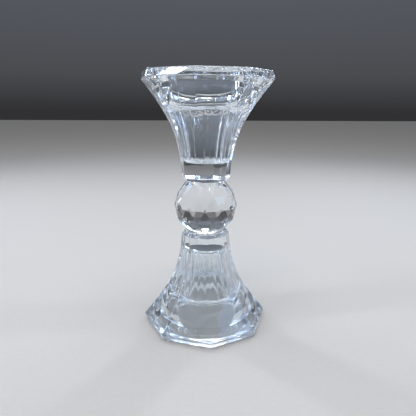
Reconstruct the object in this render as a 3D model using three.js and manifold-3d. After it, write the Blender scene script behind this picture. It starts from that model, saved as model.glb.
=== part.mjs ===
// Glass candlestick: two pressed octagonal mouldings, one upright as the candle cup and one
// inverted as the pedestal base, with a faceted crystal ball cemented between their stems.
// Millimetres, +Z up. The origin is where the axis meets the table.
import * as THREE from 'three';
import { mergeVertices } from 'three/addons/utils/BufferGeometryUtils.js';
import { ConvexGeometry } from 'three/addons/geometries/ConvexGeometry.js';
import Module from 'manifold-3d';

// ---- driving dimensions ----
// Radii of the octagonal outside are to its corners; radii of the inside are round.
const SIDES = 8;
const cupHeight = 65.4;
const baseHeight = 62.8;

const widestRadius = 41.0; // where the rim band meets the flare
const bandHeight = 4.5;
const bandSlope = 1.7; // the band draws in by this much, down to the flat wide face
const stemRadius = 15.5; // narrow end, above the chamfer
const stemChamferWidth = 1.9;
const stemChamferHeight = 2.1;
const flareShoulder = { radius: 24.2, along: 0.36 }; // the flare's Bezier handles: the radius,
const flareWaist = { radius: 16.7, along: 0.55 }; // and the share of the flare's length

const socketMouthRadius = 17.5; // the taper socket, to the bottom of its flutes
const ledgeWidth = 1.1; // the flat ledge round the socket, at the foot of the recess
const bowlWidth = 6.9; // the recess's wall stands this far outside the ledge and curves in to it
const bowlPull = 0.55; // how far the curve's handles reach towards the wall's foot
const lipWidth = 5.5; // the rolled lip, from the recess's wall out to the flat wide face
const lipDepth = 3.8;
const lipRoll = { part: 0.35, along: 0.5 }; // the lip's Bezier handle: shares of its width and depth
const recessDepth = 20.0;
const socketFloorRadius = 11.6;
const socketShoulder = { part: 0.45, along: 0.3 }; // its wall's Bezier handles: the share of the
const socketWaist = { part: 0.1, along: 0.6 }; // narrowing that is left, and of the wall's length
const solidStem = 11.5; // solid glass between the socket's floor and the stem's end
const socketFillet = 3.4;
const fluteCount = 16;
const fluteDepth = 0.8;

const ballRadius = 20.0;
const ballHeight = 32.2; // between its two ground flats
const ballSides = 12;
const ballGirdleAngle = 24.8; // latitude of the two staggered rings of corners, in degrees
const cementThickness = 0.3;
const cementInset = 0.5; // the cement film stops this far inside the flats that it joins

const cupTurn = -14.9; // degrees about the axis, as cemented by hand
const ballTurn = -6.2;

// ---- resolution of the curves ----
const FLARE_STEPS = 24;
const LIP_STEPS = 6;
const BOWL_STEPS = 10;
const SOCKET_STEPS = 10;
const FILLET_STEPS = 4;
const ROUND_SEGMENTS = 72;

// ---- radii that follow ----
const faceRadius = widestRadius - bandSlope;
const stemEndRadius = stemRadius - stemChamferWidth; // the flat that is cemented to the ball
const ledgeRadius = socketMouthRadius + ledgeWidth;
const recessRadius = ledgeRadius + bowlWidth;

// ---- stack, from the table up ----
const ballFlat = ballHeight / 2;
const ballFlatRadius = Math.sqrt(ballRadius ** 2 - ballFlat ** 2);
const lowerCementZ = baseHeight;
const ballCentreZ = lowerCementZ + cementThickness + ballFlat;
const upperCementZ = ballCentreZ + ballFlat;
const cupStemZ = upperCementZ + cementThickness;
const cupFaceZ = cupStemZ + cupHeight;

const wasm = await Module();
wasm.setup();

/** A closed geometry as a manifold solid. */
function toSolid(geometry) {
  const bare = geometry.index ? geometry.clone() : mergeVertices(geometry);
  bare.deleteAttribute('normal');
  bare.deleteAttribute('uv');
  const merged = mergeVertices(bare, 1e-4);
  return new wasm.Manifold(new wasm.Mesh({
    numProp: 3,
    vertProperties: new Float32Array(merged.attributes.position.array),
    triVerts: new Uint32Array(merged.index.array),
  }));
}

/** A manifold solid as a flat-shaded geometry. */
function toGeometry(solid) {
  const { vertProperties, triVerts } = solid.getMesh();
  const geometry = new THREE.BufferGeometry();
  geometry.setAttribute('position', new THREE.BufferAttribute(vertProperties, 3));
  geometry.setIndex(new THREE.BufferAttribute(triVerts, 1));
  geometry.computeVertexNormals();
  return geometry;
}

/** A solid of revolution about Z from [radius, height] points that start and end on the axis. */
function revolve(profile, segments) {
  const points = profile.map(([radius, height]) => new THREE.Vector2(radius, height));
  return new THREE.LatheGeometry(points, segments).rotateX(Math.PI / 2);
}

/** Points of a Bezier curve through four [radius, height] handles. */
function bezier(handles, steps) {
  const [start, shoulder, waist, end] = handles.map(([x, y]) => new THREE.Vector2(x, y));
  return new THREE.CubicBezierCurve(start, shoulder, waist, end)
    .getPoints(steps).map(({ x, y }) => [x, y]);
}

/** The octagonal outside of a moulding: its wide face at z = 0 and its stem end at z = height. */
function outsideOf(height) {
  const flareEnd = height - stemChamferHeight;
  const flareLength = flareEnd - bandHeight;
  return revolve([
    [0, 0],
    [faceRadius, 0],
    ...bezier([
      [widestRadius, bandHeight],
      [flareShoulder.radius, bandHeight + flareShoulder.along * flareLength],
      [flareWaist.radius, bandHeight + flareWaist.along * flareLength],
      [stemRadius, flareEnd],
    ], FLARE_STEPS),
    [stemEndRadius, height],
    [0, height],
  ], SIDES);
}

/** The round recess with its rolled lip, cut from the wide face; it starts outside the glass. */
function recessCutter() {
  const start = -1;
  const lipRadius = recessRadius + lipWidth;
  return revolve([
    [0, start],
    [lipRadius, start],
    ...bezier([
      [lipRadius, 0],
      [recessRadius + lipWidth / 2, 0],
      [recessRadius + lipRoll.part * lipWidth, lipRoll.along * lipDepth],
      [recessRadius, lipDepth],
    ], LIP_STEPS),
    ...bezier([
      [recessRadius, lipDepth],
      [recessRadius, THREE.MathUtils.lerp(lipDepth, recessDepth, bowlPull)],
      [THREE.MathUtils.lerp(ledgeRadius, recessRadius, bowlPull), recessDepth],
      [ledgeRadius, recessDepth],
    ], BOWL_STEPS).slice(1),
    [0, recessDepth],
  ], ROUND_SEGMENTS);
}

/** The fluted taper socket below the recess, for a moulding of the given height. */
function socketCutter(height) {
  const start = recessDepth - 1;
  const floor = height - solidStem;
  const wallEnd = floor - socketFillet;
  const radiusAt = ({ part }) => THREE.MathUtils.lerp(socketFloorRadius, socketMouthRadius, part);
  const heightAt = ({ along }) => THREE.MathUtils.lerp(recessDepth, wallEnd, along);
  const geometry = revolve([
    [0, start],
    [socketMouthRadius, start],
    ...bezier([
      [socketMouthRadius, recessDepth],
      [radiusAt(socketShoulder), heightAt(socketShoulder)],
      [radiusAt(socketWaist), heightAt(socketWaist)],
      [socketFloorRadius, wallEnd],
    ], SOCKET_STEPS),
    ...Array.from({ length: FILLET_STEPS }, (_, i) => {
      const angle = ((i + 1) / FILLET_STEPS) * (Math.PI / 2);
      return [
        socketFloorRadius - socketFillet * (1 - Math.cos(angle)),
        wallEnd + socketFillet * Math.sin(angle),
      ];
    }),
    [0, floor],
  ], 2 * fluteCount);
  const place = geometry.attributes.position;
  const filletRadius = socketFloorRadius - socketFillet;
  for (let i = 0; i < place.count; i += 1) {
    const x = place.getX(i);
    const y = place.getY(i);
    const radius = Math.hypot(x, y);
    const spoke = Math.round(Math.atan2(x, -y) / (Math.PI / fluteCount));
    const rib = fluteDepth * THREE.MathUtils.smoothstep(radius, filletRadius, socketFloorRadius);
    if (spoke % 2 !== 0 && radius > 0) {
      place.setXY(i, x * (1 - rib / radius), y * (1 - rib / radius));
    }
  }
  return geometry;
}

/** One whole moulding, wide face down at z = 0. */
function moulding(height) {
  const glass = toSolid(outsideOf(height));
  return toGeometry(glass.subtract(toSolid(recessCutter())).subtract(toSolid(socketCutter(height))));
}

/** The faceted ball about its own centre: rings of corners on one sphere, joined by flat facets. */
function facetedBall() {
  const girdle = THREE.MathUtils.degToRad(ballGirdleAngle);
  const ringHeight = ballRadius * Math.sin(girdle);
  const ringRadius = ballRadius * Math.cos(girdle);
  const rings = [
    { radius: ballFlatRadius, height: -ballFlat, stagger: 0 },
    { radius: ringRadius, height: -ringHeight, stagger: 0.5 },
    { radius: ballRadius, height: 0, stagger: 0 },
    { radius: ringRadius, height: ringHeight, stagger: 0.5 },
    { radius: ballFlatRadius, height: ballFlat, stagger: 0 },
  ];
  const corners = rings.flatMap(({ radius, height, stagger }) =>
    Array.from({ length: ballSides }, (_, i) => {
      const angle = ((i + stagger) / ballSides) * 2 * Math.PI;
      return new THREE.Vector3(radius * Math.sin(angle), -radius * Math.cos(angle), height);
    }));
  return new ConvexGeometry(corners);
}

/** A film of clear cement between the ball's flat and a stem's end. */
function cementFilm() {
  const ballFlatWithin = ballFlatRadius * Math.cos(Math.PI / ballSides);
  const stemEndWithin = stemEndRadius * Math.cos(Math.PI / SIDES);
  const radius = Math.min(ballFlatWithin, stemEndWithin) - cementInset;
  return new THREE.CylinderGeometry(radius, radius, cementThickness, ROUND_SEGMENTS)
    .rotateX(Math.PI / 2)
    .translate(0, 0, cementThickness / 2);
}

/** A named mesh with its own material. */
function piece(name, geometry, { color, roughness }) {
  const material = new THREE.MeshStandardMaterial({ color, roughness, metalness: 0 });
  const mesh = new THREE.Mesh(geometry, material);
  mesh.name = name;
  return mesh;
}

const pressedGlass = { color: 0xe9f1f6, roughness: 0.04 };
const cutCrystal = { color: 0xf2f6f8, roughness: 0.01 };
const clearCement = { color: 0xf6f6f0, roughness: 0.12 };

const candlestick = new THREE.Group();

const base = piece('pedestal_base', moulding(baseHeight), pressedGlass);
candlestick.add(base);

const lowerCement = piece('lower_cement', cementFilm(), clearCement);
lowerCement.position.z = lowerCementZ;
candlestick.add(lowerCement);

const ball = piece('crystal_ball', facetedBall(), cutCrystal);
ball.position.z = ballCentreZ;
ball.rotation.z = THREE.MathUtils.degToRad(ballTurn);
candlestick.add(ball);

const upperCement = piece('upper_cement', cementFilm(), clearCement);
upperCement.position.z = upperCementZ;
candlestick.add(upperCement);

const cup = piece('candle_cup', moulding(cupHeight), pressedGlass);
cup.position.z = cupFaceZ;
cup.rotation.set(Math.PI, 0, THREE.MathUtils.degToRad(cupTurn));
candlestick.add(cup);

export default candlestick;
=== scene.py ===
"""Glass candlestick: two pressed octagonal mouldings cemented to a faceted crystal ball.

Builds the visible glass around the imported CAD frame, which holds the sizes and places. All
design sizes below are in millimetres and are turned to metres where a mesh is made.
"""

import logging
import math
from dataclasses import dataclass
from enum import Enum
from typing import Any, Optional, Sequence

import bmesh
import bpy
from mathutils import Matrix, Vector

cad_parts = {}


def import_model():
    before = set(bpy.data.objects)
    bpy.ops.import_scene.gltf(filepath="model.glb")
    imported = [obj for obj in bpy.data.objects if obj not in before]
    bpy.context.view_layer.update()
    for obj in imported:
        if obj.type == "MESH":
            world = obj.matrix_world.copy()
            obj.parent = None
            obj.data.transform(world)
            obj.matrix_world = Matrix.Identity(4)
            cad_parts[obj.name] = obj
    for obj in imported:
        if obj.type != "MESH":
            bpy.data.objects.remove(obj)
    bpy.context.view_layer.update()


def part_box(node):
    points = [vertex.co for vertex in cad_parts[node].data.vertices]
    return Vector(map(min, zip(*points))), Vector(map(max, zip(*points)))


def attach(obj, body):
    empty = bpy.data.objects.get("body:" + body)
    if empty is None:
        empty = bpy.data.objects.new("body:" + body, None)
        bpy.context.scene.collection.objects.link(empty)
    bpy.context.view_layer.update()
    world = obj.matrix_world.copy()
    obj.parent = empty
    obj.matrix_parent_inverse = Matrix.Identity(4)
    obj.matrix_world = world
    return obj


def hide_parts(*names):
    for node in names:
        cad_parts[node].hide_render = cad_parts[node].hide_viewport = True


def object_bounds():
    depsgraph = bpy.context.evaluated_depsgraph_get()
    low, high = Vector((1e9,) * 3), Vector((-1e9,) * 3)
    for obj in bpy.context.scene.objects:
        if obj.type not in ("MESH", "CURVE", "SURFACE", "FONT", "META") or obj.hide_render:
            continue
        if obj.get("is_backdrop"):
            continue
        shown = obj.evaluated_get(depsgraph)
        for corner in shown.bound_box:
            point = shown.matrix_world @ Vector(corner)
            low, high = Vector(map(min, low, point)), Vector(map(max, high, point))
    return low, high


log = logging.getLogger("candlestick")

MM = 0.001
OCTAGON = 8

# The part of a noise's range that shows as handled glass, and the octaves of each noise.
HAZE_FROM = 0.52
HAZE_TO = 0.78
HAZE_DETAIL = 6
WAVE_DETAIL = 1
SEED_DETAIL = 2

# The camera's sensor, in mm, and how near it sees, in metres.
SENSOR_WIDTH = 36
CLIP_START = 0.01

# Steps along the mouldings' curves and round their arcs.
RIM_ARC_STEPS = 5
STEM_ARC_STEPS = 4
EDGE_ARC_STEPS = 6
PANEL_ARC_STEPS = 4
PANEL_CUTS = 11
WALL_STEPS = 40
BOWL_STEPS = 24
LIP_STEPS = 12
FILLET_STEPS = 8
FILLET_LEAD = 8


class Way(Enum):
    """Which way a moulding's wide face looks."""

    DOWN = 1
    UP = -1


# ---------------------------------------------------------------------------------------
# Colour and node helpers
# ---------------------------------------------------------------------------------------


def linear(colour: str) -> tuple[float, float, float, float]:
    """Turn an sRGB hex colour into linear RGBA.

    Args:
        colour: Six hex digits, such as "F4F8FB".

    Returns:
        Linear red, green, blue and an alpha of 1.
    """
    parts = [int(colour[i : i + 2], 16) / 255 for i in (0, 2, 4)]
    red, green, blue = (
        c / 12.92 if c <= 0.04045 else ((c + 0.055) / 1.055) ** 2.4 for c in parts
    )
    return red, green, blue, 1.0


def add_node(
    tree: bpy.types.NodeTree,
    kind: str,
    settings: Optional[dict[str, Any]] = None,
    values: Optional[dict[Any, Any]] = None,
    links: Optional[dict[Any, bpy.types.NodeSocket]] = None,
) -> bpy.types.Node:
    """Add one node with its settings, plain socket values and incoming links.

    Args:
        tree: The tree that gets the node.
        kind: The node's type name.
        settings: The node's own properties.
        values: Input socket name or number to its plain value.
        links: Input socket name or number to the socket that feeds it.

    Returns:
        The new node.
    """
    node = tree.nodes.new(kind)
    for name, value in (settings or {}).items():
        setattr(node, name, value)
    for name, value in (values or {}).items():
        node.inputs[name].default_value = value
    for name, socket in (links or {}).items():
        tree.links.new(socket, node.inputs[name])
    return node


def new_material(name: str) -> tuple[bpy.types.Material, bpy.types.NodeTree]:
    """Make a material with an empty node tree.

    Args:
        name: The material's name.

    Returns:
        The material and its tree.
    """
    material = bpy.data.materials.new(name)
    material.use_nodes = True
    material.node_tree.nodes.clear()
    return material, material.node_tree


# ---------------------------------------------------------------------------------------
# Finishes
# ---------------------------------------------------------------------------------------


@dataclass(frozen=True)
class ClearGlass:
    """Colourless glass with a faint surface relief and handling marks.

    Args:
        name: The material's name.
        colour: sRGB hex of what the surface lets through.
        ior: Index of refraction.
        polish: Roughness where the surface is clean.
        haze: Extra roughness where it has been handled.
        haze_size: Width of a handled patch, in mm.
        wave_size: Width of the surface's slow waves, in mm.
        wave_height: Height that the bump gives those waves, in mm.
        seed_size: Width of the fine orange peel left by the mould, in mm.
        seed_height: Height that the bump gives it, in mm.
    """

    name: str
    colour: str
    ior: float
    polish: float
    haze: float
    haze_size: float
    wave_size: float
    wave_height: float
    seed_size: float
    seed_height: float

    def noise(
        self, tree: bpy.types.NodeTree, place: bpy.types.NodeSocket, size: float, detail: float
    ) -> bpy.types.Node:
        """Add a noise whose blobs are about size mm across.

        Args:
            tree: The material's tree.
            place: Object coordinates, in metres.
            size: Width of a blob, in mm.
            detail: Octaves of finer noise on it.

        Returns:
            The noise node.
        """
        return add_node(
            tree,
            "ShaderNodeTexNoise",
            values={"Scale": 1 / (size * MM), "Detail": detail, "Roughness": 0.5},
            links={"Vector": place},
        )

    def build(self) -> bpy.types.Material:
        """Make the material.

        Returns:
            The finished material.
        """
        material, tree = new_material(self.name)
        place = add_node(tree, "ShaderNodeTexCoord").outputs["Object"]
        haze = add_node(
            tree,
            "ShaderNodeMapRange",
            values={
                "From Min": HAZE_FROM,
                "From Max": HAZE_TO,
                "To Min": self.polish,
                "To Max": self.polish + self.haze,
            },
            links={"Value": self.noise(tree, place, self.haze_size, HAZE_DETAIL).outputs["Fac"]},
        )
        wave = add_node(
            tree,
            "ShaderNodeBump",
            values={"Strength": 1.0, "Distance": self.wave_height * MM},
            links={"Height": self.noise(tree, place, self.wave_size, WAVE_DETAIL).outputs["Fac"]},
        )
        relief = add_node(
            tree,
            "ShaderNodeBump",
            values={"Strength": 1.0, "Distance": self.seed_height * MM},
            links={
                "Height": self.noise(tree, place, self.seed_size, SEED_DETAIL).outputs["Fac"],
                "Normal": wave.outputs["Normal"],
            },
        )
        surface = add_node(
            tree,
            "ShaderNodeBsdfPrincipled",
            values={
                "Base Color": linear(self.colour),
                "IOR": self.ior,
                "Transmission Weight": 1.0,
            },
            links={"Roughness": haze.outputs["Result"], "Normal": relief.outputs["Normal"]},
        )
        add_node(
            tree, "ShaderNodeOutputMaterial", links={"Surface": surface.outputs["BSDF"]}
        )
        return material


# Pressed soda-lime crystal, fire polished: very clear, but its faces keep a slow waviness
# and a faint orange peel from the mould, so what is seen through them swims a little.
PRESSED_GLASS = ClearGlass("pressed_glass", "F6FAFC", 1.52, 0.0, 0.006, 14, 11, 0.12, 2.2, 0.004)

# Cut optical crystal, polished on a lap: flatter and cleaner than the mouldings.
CUT_CRYSTAL = ClearGlass("cut_crystal", "FAFCFD", 1.53, 0.0, 0.012, 9, 16, 0.02, 1.6, 0.001)

# Clear acrylic cement, cured between two flats: slightly warm, with a soft, uneven skin.
CLEAR_CEMENT = ClearGlass("clear_cement", "F5F4EE", 1.49, 0.06, 0.2, 3, 4, 0.03, 0.8, 0.004)


@dataclass(frozen=True)
class StudioPaper:
    """Matt pale paper under the object, with a faint fibre mottling.

    Args:
        name: The material's name.
        light: sRGB hex of its lighter tone.
        dark: sRGB hex of its darker tone.
        fibre_size: Width of the mottling, in mm.
        roughness: Roughness of the paper.
        specular: Strength of its sheen.
    """

    name: str
    light: str
    dark: str
    fibre_size: float
    roughness: float
    specular: float

    def build(self) -> bpy.types.Material:
        """Make the material.

        Returns:
            The finished material.
        """
        material, tree = new_material(self.name)
        place = add_node(tree, "ShaderNodeTexCoord").outputs["Object"]
        mottle = add_node(
            tree,
            "ShaderNodeTexNoise",
            values={"Scale": 1 / (self.fibre_size * MM), "Detail": 4},
            links={"Vector": place},
        )
        tone = add_node(
            tree,
            "ShaderNodeMix",
            settings={"data_type": "RGBA"},
            values={6: linear(self.light), 7: linear(self.dark)},
            links={0: mottle.outputs["Fac"]},
        )
        surface = add_node(
            tree,
            "ShaderNodeBsdfPrincipled",
            values={"Roughness": self.roughness, "Specular IOR Level": self.specular},
            links={"Base Color": tone.outputs[2]},
        )
        add_node(
            tree, "ShaderNodeOutputMaterial", links={"Surface": surface.outputs["BSDF"]}
        )
        return material


PALE_PAPER = StudioPaper("pale_paper", "C4BCB0", "BDB5A9", 2.5, 0.75, 0.3)


# ---------------------------------------------------------------------------------------
# Outline helpers
# ---------------------------------------------------------------------------------------


def bezier(points: Sequence[Vector], steps: int) -> list[Vector]:
    """Points along a cubic Bezier curve.

    Args:
        points: Its two ends and two handles, in order.
        steps: Number of steps along it.

    Returns:
        The points, both ends included.
    """
    a, b, c, d = points
    curve = []
    for i in range(steps + 1):
        t = i / steps
        s = 1 - t
        curve.append(s**3 * a + 3 * s * s * t * b + 3 * s * t * t * c + t**3 * d)
    return curve


def rounded_corner(
    before: Vector, corner: Vector, after: Vector, radius: float, steps: int
) -> list[Vector]:
    """Round one corner of an outline with an arc.

    Args:
        before: A point on the way in.
        corner: The sharp corner.
        after: A point on the way out.
        radius: The arc's radius.
        steps: Number of steps round it.

    Returns:
        The arc's points, from the way in to the way out.
    """
    to_before = (before - corner).normalized()
    to_after = (after - corner).normalized()
    half = to_before.angle(to_after) / 2
    reach = radius / math.tan(half)
    centre = corner + (to_before + to_after).normalized() * (radius / math.sin(half))
    start = (corner + to_before * reach - centre).normalized()
    end = (corner + to_after * reach - centre).normalized()
    return [centre + start.slerp(end, i / steps) * radius for i in range(steps + 1)]


def rounded_outline(
    points: Sequence[tuple[float, float]], radii: dict[int, float], steps: int
) -> list[Vector]:
    """An open outline with some of its corners rounded.

    Args:
        points: (radius, height) corners.
        radii: Corner number to the radius of its arc.
        steps: Number of steps round each arc.

    Returns:
        The outline's points.
    """
    corners = [Vector(p) for p in points]
    outline: list[Vector] = []
    for i, corner in enumerate(corners):
        if i in radii:
            outline += rounded_corner(corners[i - 1], corner, corners[i + 1], radii[i], steps)
        else:
            outline.append(corner)
    return outline


# ---------------------------------------------------------------------------------------
# Mesh helpers
# ---------------------------------------------------------------------------------------


def loft(
    mesh: bmesh.types.BMesh, ring: list[bmesh.types.BMVert], outline: Sequence[Vector]
) -> tuple[list[bmesh.types.BMEdge], list[list[bmesh.types.BMVert]]]:
    """Sweep a flat ring about Z along an outline, scaling it to each radius.

    Args:
        mesh: The mesh that holds the ring.
        ring: The ring's vertices, at the outline's first point.
        outline: (radius, height) points, in the mesh's units.

    Returns:
        The last ring's edges, and every ring's vertices.
    """
    edges = [e for e in mesh.edges if e.verts[0] in ring and e.verts[1] in ring]
    rings = [ring]
    for here, there in zip(outline, outline[1:]):
        made = bmesh.ops.extrude_edge_only(mesh, edges=edges)["geom"]
        ring = [v for v in made if isinstance(v, bmesh.types.BMVert)]
        edges = [
            e
            for e in made
            if isinstance(e, bmesh.types.BMEdge) and all(v in ring for v in e.verts)
        ]
        scale = there.x / here.x
        bmesh.ops.scale(mesh, verts=ring, vec=(scale, scale, 1))
        bmesh.ops.translate(mesh, verts=ring, vec=(0, 0, there.y - here.y))
        rings.append(ring)
    return edges, rings


def finish_piece(
    mesh: bmesh.types.BMesh, name: str, material: bpy.types.Material, node: str
) -> bpy.types.Object:
    """Turn a mesh in mm into a piece in metres that replaces a CAD node.

    Args:
        mesh: The finished mesh, freed here.
        name: The piece's name.
        material: Its material.
        node: The CAD node that it stands for.

    Returns:
        The piece.
    """
    bmesh.ops.recalc_face_normals(mesh, faces=mesh.faces[:])
    bmesh.ops.scale(mesh, verts=mesh.verts[:], vec=(MM, MM, MM))
    data = bpy.data.meshes.new(name)
    mesh.to_mesh(data)
    mesh.free()
    data.materials.append(material)
    piece = bpy.data.objects.new(name, data)
    bpy.context.scene.collection.objects.link(piece)
    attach(piece, "root")
    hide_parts(node)
    log.info("%s: %d faces", name, len(data.polygons))
    return piece


# ---------------------------------------------------------------------------------------
# The mouldings
# ---------------------------------------------------------------------------------------


@dataclass
class Moulding:
    """A pressed-glass moulding: octagonal outside, round recess, fluted socket, solid stem.

    Lengths are in mm. Outside radii are to the octagon's corners; inside radii are round. A
    curve's handle is a radius or a share of its width, then a share of its length.

    Args:
        node: The CAD node that it stands for.
        way: Which way its wide face looks.
        turn: Its turn about the axis, in degrees.
        face_radius: The flat wide face.
        widest_radius: Where the rim band meets the flare.
        band_height: The sloping rim band.
        stem_radius: The narrow end of the flare.
        stem_end_radius: The flat that is cemented to the ball.
        chamfer_height: The chamfer between those two.
        shoulder: The flare's handle near the rim.
        waist: The flare's handle near the stem.
        recess_radius: The recess, below its lip.
        bowl_pull: How far the recess's handles reach towards its corner.
        ledge_radius: The outer edge of the ledge.
        lip_width: The rolled lip, outwards from the recess.
        lip_depth: The rolled lip, down from the wide face.
        lip_roll: The lip's handle.
        recess_depth: From the wide face to the ledge.
        socket_radius: The socket's mouth, to the bottom of its flutes.
        socket_shoulder: The socket's handle near its mouth.
        socket_waist: The socket's handle near its floor.
        socket_end_radius: The socket, just above its rounded floor.
        socket_fillet: The round between its wall and floor.
        solid_stem: Solid glass beyond the socket's floor.
        flutes: Number of flutes.
        flute_depth: Their depth.
        mouth_round: The round where the lip meets the recess.
        ledge_round: The round on the ledge's inner edge.
        edge_round: The round on the wide face's edge.
        panel_round: The round on the octagon's corners.
        band_round: The round where the band meets the flare.
        chamfer_round: The round where the flare meets the chamfer.
        stem_end_round: The round on the stem's end.
        face_land: How far in from its edge the wide face is drawn as an outline.
        floor_centre: The small radius at which the floor's outline stops.
        flute_margin: How far past the socket's radius a ring may lie and still be fluted.
        flute_run_in: The length over which the flutes start.
        flare_steps: Steps along the flare.
        round_steps: Steps round the inside.
    """

    node: str
    way: Way
    turn: float
    face_radius: float = 39.3
    widest_radius: float = 41.0
    band_height: float = 4.5
    stem_radius: float = 15.5
    stem_end_radius: float = 13.6
    chamfer_height: float = 2.1
    shoulder: tuple[float, float] = (24.2, 0.36)
    waist: tuple[float, float] = (16.7, 0.55)
    recess_radius: float = 25.5
    bowl_pull: float = 0.55
    ledge_radius: float = 18.6
    lip_width: float = 5.5
    lip_depth: float = 3.8
    lip_roll: tuple[float, float] = (0.35, 0.5)
    recess_depth: float = 20.0
    socket_radius: float = 17.5
    socket_shoulder: tuple[float, float] = (0.45, 0.3)
    socket_waist: tuple[float, float] = (0.1, 0.6)
    socket_end_radius: float = 11.6
    socket_fillet: float = 3.4
    solid_stem: float = 11.5
    flutes: int = 16
    flute_depth: float = 0.8
    mouth_round: float = 0.9
    ledge_round: float = 0.7
    edge_round: float = 0.9
    panel_round: float = 0.7
    band_round: float = 1.2
    chamfer_round: float = 0.6
    stem_end_round: float = 0.4
    face_land: float = 3.0
    floor_centre: float = 0.5
    flute_margin: float = 0.2
    flute_run_in: float = 1.2
    flare_steps: int = 72
    round_steps: int = 192

    def place(self) -> tuple[float, float]:
        """Find where it stands, from the CAD frame.

        Returns:
            The height of its wide face and its own height, in mm.
        """
        low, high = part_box(self.node)
        face = low.z if self.way is Way.DOWN else high.z
        return face / MM, (high.z - low.z) / MM

    def outer_outline(self, height: float) -> list[Vector]:
        """The outside, from the wide face to the stem's end.

        Args:
            height: The moulding's height, in mm.

        Returns:
            (corner radius, height above the wide face) points.
        """
        end = height - self.chamfer_height
        length = end - self.band_height
        handles = [
            Vector((self.widest_radius, self.band_height)),
            Vector((self.shoulder[0], self.band_height + self.shoulder[1] * length)),
            Vector((self.waist[0], self.band_height + self.waist[1] * length)),
            Vector((self.stem_radius, end)),
        ]
        flare = bezier(handles, self.flare_steps)
        inner = self.face_radius - self.face_land
        rim = rounded_outline(
            [(inner, 0), (self.face_radius, 0), tuple(flare[0]), tuple(flare[2])],
            {1: self.edge_round, 2: self.band_round},
            RIM_ARC_STEPS,
        )[1:-1]
        stem = rounded_outline(
            [tuple(flare[-2]), tuple(flare[-1]), (self.stem_end_radius, height), (0, height)],
            {1: self.chamfer_round, 2: self.stem_end_round},
            STEM_ARC_STEPS,
        )[1:-1]
        middle = [p for p in flare if rim[-1].y < p.y < stem[0].y]
        return rim + middle + stem

    def inner_outline(self, height: float) -> list[Vector]:
        """The recess and socket, from the mouth to the middle of the socket's floor.

        Args:
            height: The moulding's height, in mm.

        Returns:
            (radius, height above the wide face) points.
        """
        floor = height - self.solid_stem
        length = floor - self.recess_depth
        narrowing = self.socket_radius - self.socket_end_radius
        wall = bezier(
            [Vector((self.socket_radius, self.recess_depth))]
            + [
                Vector(
                    (self.socket_end_radius + part * narrowing, self.recess_depth + down * length)
                )
                for part, down in (self.socket_shoulder, self.socket_waist)
            ]
            + [Vector((self.socket_end_radius, floor))],
            WALL_STEPS,
        )
        mouth = Vector((self.recess_radius, self.lip_depth))
        ledge = Vector((self.ledge_radius, self.recess_depth))
        corner = Vector((self.recess_radius, self.recess_depth))
        bowl = bezier(
            [
                mouth,
                mouth.lerp(corner, self.bowl_pull),
                ledge.lerp(corner, self.bowl_pull),
                ledge,
            ],
            BOWL_STEPS,
        )
        part, along = self.lip_roll
        lip = bezier(
            [
                mouth + Vector((self.lip_width, -self.lip_depth)),
                mouth + Vector((self.lip_width / 2, -self.lip_depth)),
                mouth + Vector((part * self.lip_width, (along - 1) * self.lip_depth)),
                mouth,
            ],
            LIP_STEPS,
        )
        edge = rounded_outline(
            [tuple(lip[-3]), tuple(mouth), tuple(bowl[2])], {1: self.mouth_round}, EDGE_ARC_STEPS
        )[1:-1]
        lip = [p for p in lip if p.y < edge[0].y]
        step = rounded_outline(
            [tuple(ledge), tuple(wall[0]), tuple(wall[2])], {1: self.ledge_round}, EDGE_ARC_STEPS
        )[1:-1]
        bottom = rounded_outline(
            [tuple(wall[-FILLET_LEAD]), tuple(wall[-1]), (self.floor_centre, floor)],
            {1: self.socket_fillet},
            FILLET_STEPS,
        )[1:]
        curve = [p for p in bowl if p.y > edge[-1].y]
        middle = [p for p in wall if step[-1].y < p.y < bottom[0].y]
        return lip + edge + curve + step + middle + bottom

    def octagon_ring(self, mesh: bmesh.types.BMesh, radius: float) -> list[bmesh.types.BMVert]:
        """A flat octagon with softened corners, its corners on radius.

        Args:
            mesh: The mesh that gets it.
            radius: Corner radius, in mm.

        Returns:
            Its vertices.
        """
        ring = bmesh.ops.create_circle(mesh, segments=OCTAGON, radius=radius)["verts"]
        bmesh.ops.bevel(
            mesh,
            geom=ring,
            offset=self.panel_round,
            offset_type="OFFSET",
            segments=PANEL_ARC_STEPS,
            profile=0.5,
            affect="VERTICES",
            material=-1,
        )
        long_edges = [e for e in mesh.edges if e.calc_length() > 4 * self.panel_round]
        bmesh.ops.subdivide_edges(mesh, edges=long_edges, cuts=PANEL_CUTS)
        return mesh.verts[:]

    def flute(
        self, rings: Sequence[Sequence[bmesh.types.BMVert]], outline: Sequence[Vector]
    ) -> None:
        """Press the flutes into the socket's wall.

        Args:
            rings: The inside's rings, one for each outline point.
            outline: The inside's outline.
        """
        top = self.recess_depth
        low = outline[-1].y
        for ring, point in zip(rings, outline):
            if point.x > self.socket_radius + self.flute_margin or point.y < top:
                continue
            fade_in = min(1.0, (point.y - top) / self.flute_run_in)
            fade_out = min(1.0, max(0.0, (low - point.y) / self.socket_fillet))
            depth = self.flute_depth * fade_in * fade_out
            for vert in ring:
                angle = math.atan2(vert.co.y, vert.co.x)
                rib = abs(math.sin(self.flutes * angle / 2))
                vert.co.xy *= 1 - depth * (1 - rib) / point.x

    def build(self, material: bpy.types.Material, slot: str) -> bpy.types.Object:
        """Make the moulding.

        Args:
            material: Its glass.
            slot: The name of a material slot; not used.

        Returns:
            The piece.
        """
        face, height = self.place()
        mesh = bmesh.new()
        outline = self.outer_outline(height)
        first = self.octagon_ring(mesh, outline[0].x)
        first_edges = mesh.edges[:]
        bmesh.ops.translate(mesh, verts=first, vec=(0, 0, outline[0].y))
        end_edges, _ = loft(mesh, first, outline)
        bmesh.ops.contextual_create(mesh, geom=end_edges)

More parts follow.
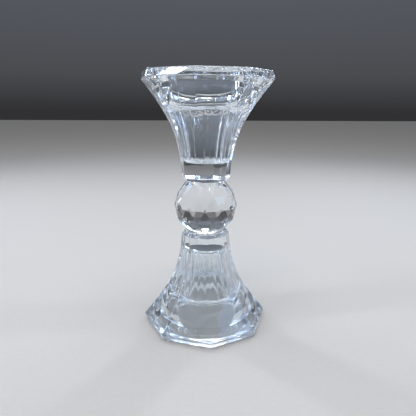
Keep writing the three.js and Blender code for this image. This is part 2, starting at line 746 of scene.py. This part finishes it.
        hollow = self.inner_outline(height)
        mouth = bmesh.ops.create_circle(
            mesh, segments=self.round_steps, radius=hollow[0].x
        )["verts"]
        mouth_edges = list({e for v in mouth for e in v.link_edges})
        bmesh.ops.translate(mesh, verts=mouth, vec=(0, 0, hollow[0].y))
        floor_edges, rings = loft(mesh, mouth, hollow)
        bmesh.ops.contextual_create(mesh, geom=floor_edges)
        self.flute(rings, hollow)
        bmesh.ops.bridge_loops(mesh, edges=first_edges + mouth_edges)

        for f in mesh.faces:
            f.smooth = True
        # Octagon corners start on +X; a quarter turn is a whole number of sides.
        if self.way is Way.UP:
            over = Matrix.Rotation(math.pi, 3, "X")
            bmesh.ops.rotate(mesh, verts=mesh.verts[:], cent=(0, 0, 0), matrix=over)
        turned = Matrix.Rotation(math.radians(self.turn), 3, "Z")
        bmesh.ops.rotate(mesh, verts=mesh.verts[:], cent=(0, 0, 0), matrix=turned)
        bmesh.ops.translate(mesh, verts=mesh.verts[:], vec=(0, 0, face))
        piece = finish_piece(mesh, f"{self.node}_glass", material, self.node)
        piece.modifiers.new("true_faces", "WEIGHTED_NORMAL")
        return piece


# ---------------------------------------------------------------------------------------
# The ball and the cement
# ---------------------------------------------------------------------------------------


@dataclass
class FacetedBall:
    """A solid crystal ball with four bands of triangular facets and two ground flats.

    Args:
        node: The CAD node that it stands for.
        turn: Its turn about the axis, in degrees.
        radius: The sphere that its corners lie on, in mm.
        sides: Corners in each ring.
        girdle_angle: Latitude of the two staggered rings, in degrees.
        edge_round: The bevel on its edges, in mm.
        flat_limit: Facets nearer than this to one plane are one facet, in degrees.
    """

    node: str = "crystal_ball"
    turn: float = -6.2
    radius: float = 20.0
    sides: int = 12
    girdle_angle: float = 24.8
    edge_round: float = 0.2
    flat_limit: float = 1.0

    def build(self, material: bpy.types.Material, slot: str) -> bpy.types.Object:
        """Make the ball.

        Args:
            material: Its crystal.
            slot: The name of a material slot; not used.

        Returns:
            The piece.
        """
        low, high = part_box(self.node)
        flat = (high.z - low.z) / 2 / MM
        centre = (high.z + low.z) / 2 / MM
        girdle = self.radius * math.sin(math.radians(self.girdle_angle))
        mesh = bmesh.new()
        for height, stagger in ((-flat, 0), (-girdle, 0.5), (0, 0), (girdle, 0.5), (flat, 0)):
            ring = bmesh.ops.create_circle(
                mesh, segments=self.sides, radius=math.sqrt(self.radius**2 - height**2)
            )["verts"]
            angle = math.radians(self.turn) + stagger * 2 * math.pi / self.sides
            turned = Matrix.Rotation(angle, 3, "Z")
            bmesh.ops.rotate(mesh, verts=ring, cent=(0, 0, 0), matrix=turned)
            bmesh.ops.translate(mesh, verts=ring, vec=(0, 0, centre + height))
        bmesh.ops.convex_hull(mesh, input=mesh.verts[:])
        bmesh.ops.dissolve_limit(
            mesh,
            angle_limit=math.radians(self.flat_limit),
            verts=mesh.verts[:],
            edges=mesh.edges[:],
        )
        bmesh.ops.bevel(
            mesh,
            geom=mesh.edges[:],
            offset=self.edge_round,
            offset_type="OFFSET",
            segments=1,
            profile=0.5,
            affect="EDGES",
            material=-1,
        )
        return finish_piece(mesh, "crystal_ball_cut", material, self.node)


@dataclass
class CementFilm:
    """A thin film of cured cement between two flats.

    Args:
        node: The CAD node that it stands for.
        air: The gap left above and below it, so that no two glass faces coincide, in mm.
        segments: Steps round it.
    """

    node: str
    air: float = 0.02
    segments: int = 96

    def build(self, material: bpy.types.Material, slot: str) -> bpy.types.Object:
        """Make the film.

        Args:
            material: Its cement.
            slot: The name of a material slot; not used.

        Returns:
            The piece.
        """
        low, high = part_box(self.node)
        radius = (high.x - low.x) / 2 / MM
        bottom, top = low.z / MM + self.air, high.z / MM - self.air
        mesh = bmesh.new()
        disc = bmesh.ops.create_circle(
            mesh, cap_ends=True, segments=self.segments, radius=radius
        )["verts"]
        bmesh.ops.translate(mesh, verts=disc, vec=(0, 0, bottom))
        lifted = bmesh.ops.extrude_face_region(mesh, geom=mesh.faces[:])["geom"]
        verts = [v for v in lifted if isinstance(v, bmesh.types.BMVert)]
        bmesh.ops.translate(mesh, verts=verts, vec=(0, 0, top - bottom))
        return finish_piece(mesh, f"{self.node}_film", material, self.node)


# ---------------------------------------------------------------------------------------
# Studio
# ---------------------------------------------------------------------------------------


@dataclass
class Viewpoint:
    """The camera: where it stands and how it is tilted, in mm and degrees."""

    distance: float = 262.7
    height: float = 143.45
    azimuth: float = -5.19
    heading: float = 0.345
    pitch: float = 14.22
    roll: float = 0.436
    lens: float = 36.48

    def build(self) -> bpy.types.Object:
        """Make the camera and give it to the scene.

        Returns:
            The camera.
        """
        data = bpy.data.cameras.new("camera")
        data.lens = self.lens
        data.sensor_width = SENSOR_WIDTH
        data.clip_start = CLIP_START
        camera = bpy.data.objects.new("camera", data)
        bpy.context.scene.collection.objects.link(camera)
        around = math.radians(self.azimuth)
        facing = (
            Matrix.Rotation(around - math.radians(self.heading), 4, "Z")
            @ Matrix.Rotation(math.pi / 2 - math.radians(self.pitch), 4, "X")
            @ Matrix.Rotation(math.radians(self.roll), 4, "Z")
        )
        stand = Vector((math.sin(around), -math.cos(around), 0)) * self.distance
        stand.z = self.height
        camera.matrix_world = Matrix.Translation(stand * MM) @ facing
        bpy.context.scene.camera = camera
        return camera


@dataclass
class SoftLight:
    """A rectangular soft box that faces the candlestick, in mm and watts."""

    name: str
    azimuth: float
    elevation: float
    reach: float
    width: float
    height: float
    power: float
    colour: str

    def build(self, target: Vector) -> bpy.types.Object:
        """Make the light.

        Args:
            target: The point that it faces, in metres.

        Returns:
            The light.
        """
        data = bpy.data.lights.new(self.name, "AREA")
        data.shape = "RECTANGLE"
        data.size = self.width * MM
        data.size_y = self.height * MM
        data.energy = self.power
        data.color = linear(self.colour)[:3]
        light = bpy.data.objects.new(self.name, data)
        bpy.context.scene.collection.objects.link(light)
        a, e = math.radians(self.azimuth), math.radians(self.elevation)
        away = Vector((math.sin(a) * math.cos(e), -math.cos(a) * math.cos(e), math.sin(e)))
        light.location = target + away * self.reach * MM
        light.rotation_mode = "QUATERNION"
        light.rotation_quaternion = away.to_track_quat("Z", "Y")
        return light


@dataclass
class Studio:
    """A plain pale floor with soft light round it.

    The floor lies a hair below the glass, as a real table only touches it at a few points, so
    the foot's underside keeps its own clear reflection.
    """

    floor_size: float = 6000
    floor_gap: float = 0.2
    light_bounces: int = 24
    glossy_bounces: int = 12
    sky: tuple[tuple[float, str], ...] = (
        (0.49, "4A4A4C"),
        (0.53, "6E7076"),
        (0.62, "7F858F"),
        (0.78, "C4D0E4"),
        (1.0, "EEF4FF"),
    )
    sky_strength: float = 0.45
    lights: tuple[SoftLight, ...] = (
        SoftLight("left_strip", -80, 30, 700, 36, 560, 1.8, "DDEAFF"),
        SoftLight("right_strip", 85, 26, 700, 36, 560, 1.6, "DDEAFF"),
        SoftLight("back_left_strip", -140, 36, 700, 36, 420, 1.4, "DDEAFF"),
        SoftLight("back_right_strip", 145, 38, 700, 36, 420, 1.4, "DDEAFF"),
        SoftLight("left_window", -62, 34, 900, 260, 500, 1.1, "A9CCFF"),
        SoftLight("right_window", 62, 30, 900, 260, 500, 1.0, "A9CCFF"),
        SoftLight("back_left_window", -120, 42, 900, 240, 500, 0.9, "A9CCFF"),
        SoftLight("back_right_window", 120, 40, 900, 240, 500, 0.9, "A9CCFF"),
        SoftLight("warm_lamp", -25, 58, 800, 40, 40, 0.4, "FFDDAA"),
        SoftLight("ceiling_strip", -5, 74, 900, 600, 60, 1.5, "F4F7FF"),
        SoftLight("ceiling_panel", 0, 89, 1400, 1200, 1200, 6.5, "F2F4F8"),
    )

    def build_sky(self) -> None:
        """Make the surroundings: dim near the horizon, pale and cool overhead."""
        world = bpy.data.worlds.new("studio")
        world.use_nodes = True
        tree = world.node_tree
        tree.nodes.clear()
        way = add_node(tree, "ShaderNodeTexCoord").outputs["Generated"]
        up = add_node(tree, "ShaderNodeSeparateXYZ", links={"Vector": way}).outputs["Z"]
        height = add_node(
            tree, "ShaderNodeMapRange", values={"From Min": -1.0}, links={"Value": up}
        )
        ramp = add_node(tree, "ShaderNodeValToRGB", links={"Fac": height.outputs["Result"]})
        stops = ramp.color_ramp.elements
        stops.remove(stops[1])
        for i, (place, colour) in enumerate(self.sky):
            stop = stops.new(place) if i else stops[0]
            stop.position = place
            stop.color = linear(colour)
        light = add_node(
            tree,
            "ShaderNodeBackground",
            values={"Strength": self.sky_strength},
            links={"Color": ramp.outputs["Color"]},
        )
        add_node(tree, "ShaderNodeOutputWorld", links={"Surface": light.outputs["Background"]})
        bpy.context.scene.world = world

    def build(self) -> None:
        """Make the floor, the world and the lights."""
        mesh = bmesh.new()
        bmesh.ops.create_grid(mesh, x_segments=1, y_segments=1, size=self.floor_size * MM / 2)
        data = bpy.data.meshes.new("studio_floor")
        mesh.to_mesh(data)
        mesh.free()
        data.materials.append(PALE_PAPER.build())
        data.transform(Matrix.Translation((0, 0, -self.floor_gap * MM)))
        floor = bpy.data.objects.new("studio_floor", data)
        bpy.context.scene.collection.objects.link(floor)
        floor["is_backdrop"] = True
        self.build_sky()
        low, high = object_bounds()
        for light in self.lights:
            light.build((low + high) / 2)

        scene = bpy.context.scene
        scene.view_settings.view_transform = "Standard"
        scene.cycles.max_bounces = self.light_bounces
        scene.cycles.transmission_bounces = self.light_bounces
        scene.cycles.glossy_bounces = self.glossy_bounces


def main() -> None:
    """Build the camera, the glass and the studio in order."""
    logging.basicConfig(level=logging.INFO, format="%(name)s: %(message)s")
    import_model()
    Viewpoint().build()

    pressed = PRESSED_GLASS.build()
    cement = CLEAR_CEMENT.build()
    Moulding("pedestal_base", Way.DOWN, 0.0).build(pressed, "base_glass")
    CementFilm("lower_cement").build(cement, "cement")
    FacetedBall().build(CUT_CRYSTAL.build(), "ball_crystal")
    CementFilm("upper_cement").build(cement, "cement")
    Moulding("candle_cup", Way.UP, -14.9).build(pressed, "cup_glass")
    Studio().build()


if __name__ == "__main__":
    main()
